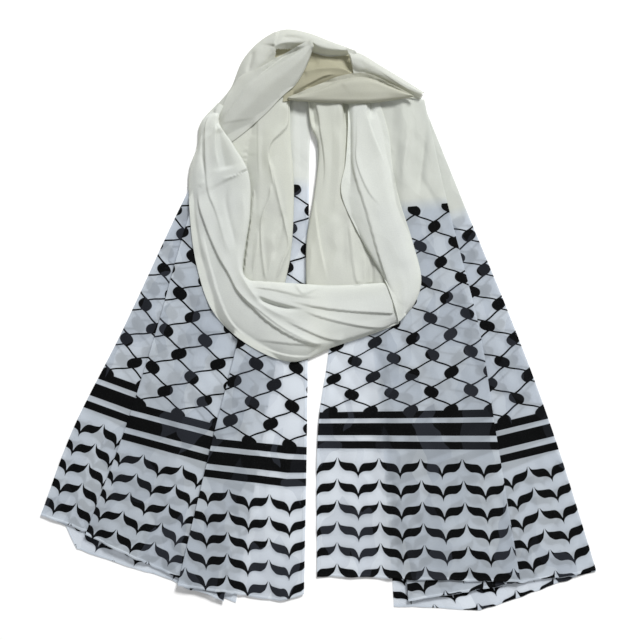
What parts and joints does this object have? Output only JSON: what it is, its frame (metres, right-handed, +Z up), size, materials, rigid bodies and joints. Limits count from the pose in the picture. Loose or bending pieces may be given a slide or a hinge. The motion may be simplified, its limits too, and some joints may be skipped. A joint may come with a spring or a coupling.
{
  "type": "hijab",
  "caption": "Long chiffon head scarf with printed ends, wound into a neck loop and laid flat with both ends fanned out in pleats.",
  "frame": {"origin": "centre of the bounding box in plan, on the surface the scarf lies on", "axes": "+X to the viewer's right, +Y from the hems to the neck, +Z up off the surface"},
  "size_m": [0.5562, 0.5802, 0.0187],
  "materials": {
    "plain_chiffon": "cream-white polyester chiffon, matt, slightly see-through",
    "printed_chiffon": "white polyester chiffon with a black traditional net, stripe and leaf print"
  },
  "bodies": {
    "root": {"end_left": "printed_chiffon", "end_right": "printed_chiffon", "drop_left": "plain_chiffon", "drop_right": "plain_chiffon", "loop_front": "plain_chiffon", "loop_right": "plain_chiffon", "neck_back": "plain_chiffon", "neck_shoulder": "plain_chiffon", "neck_roll": "plain_chiffon", "neck_arch": "plain_chiffon", "neck_ribbon": "plain_chiffon"}
  },
  "joints": []
}
